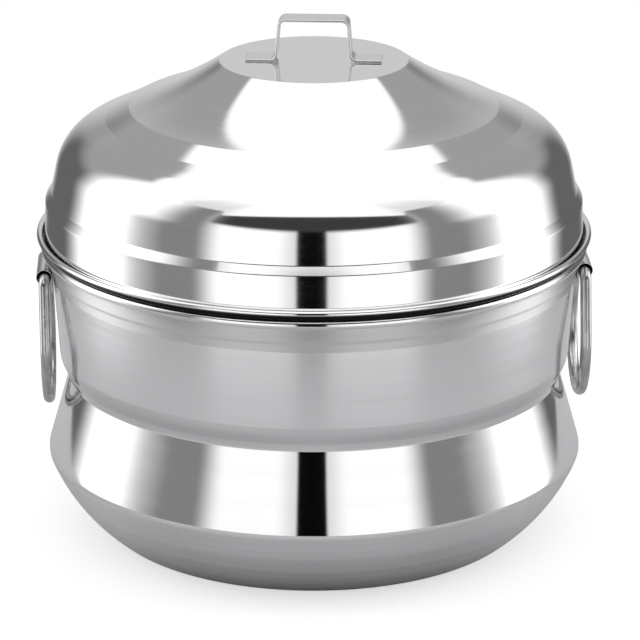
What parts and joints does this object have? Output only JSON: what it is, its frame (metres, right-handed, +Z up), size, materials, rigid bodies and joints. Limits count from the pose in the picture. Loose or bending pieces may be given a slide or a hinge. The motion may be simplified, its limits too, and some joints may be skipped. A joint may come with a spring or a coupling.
{
  "type": "idli cooker",
  "caption": "Waisted steel steaming pot with a domed lid, strap lid handle, hinged ring handles at the sides and cupped plates resting inside for steaming rice cakes.",
  "frame": {"origin": "centre of the flat base, where the pot stands", "axes": "+Z up along the pot's axis, +X towards the right ring handle, -Y towards the picture's camera"},
  "size_m": [0.2802, 0.2794, 0.2628],
  "materials": {
    "polished_lid": "mirror polished sheet steel, spun",
    "polished_wall": "polished sheet steel, satin on the upper wall, mirror on the flare, matt on the bowl",
    "strap": "polished steel strip",
    "ring_wire": "polished steel wire",
    "pressed_plate": "plain pressed sheet steel"
  },
  "bodies": {
    "pot": {"pot_body": "polished_wall", "lid": "polished_lid", "lid_handle": "strap", "left_lug": "strap", "right_lug": "strap", "lower_idli_plate": "pressed_plate", "upper_idli_plate": "pressed_plate", "lower_plate_lifter": "strap", "upper_plate_lifter_left": "strap", "upper_plate_lifter_right": "strap"},
    "left_ring": {"left_ring_handle": "ring_wire"},
    "right_ring": {"right_ring_handle": "ring_wire"}
  },
  "joints": [
    {"name": "left_ring_swing", "type": "hinge", "parent": "pot", "child": "left_ring", "pos_m": [-0.13589, 0, 0.134], "axis": [0, 1, 0], "range_deg": [-1.4, 150.6]},
    {"name": "right_ring_swing", "type": "hinge", "parent": "pot", "child": "right_ring", "pos_m": [0.13589, 0, 0.134], "axis": [0, -1, 0], "range_deg": [-1.7, 150.3]}
  ]
}
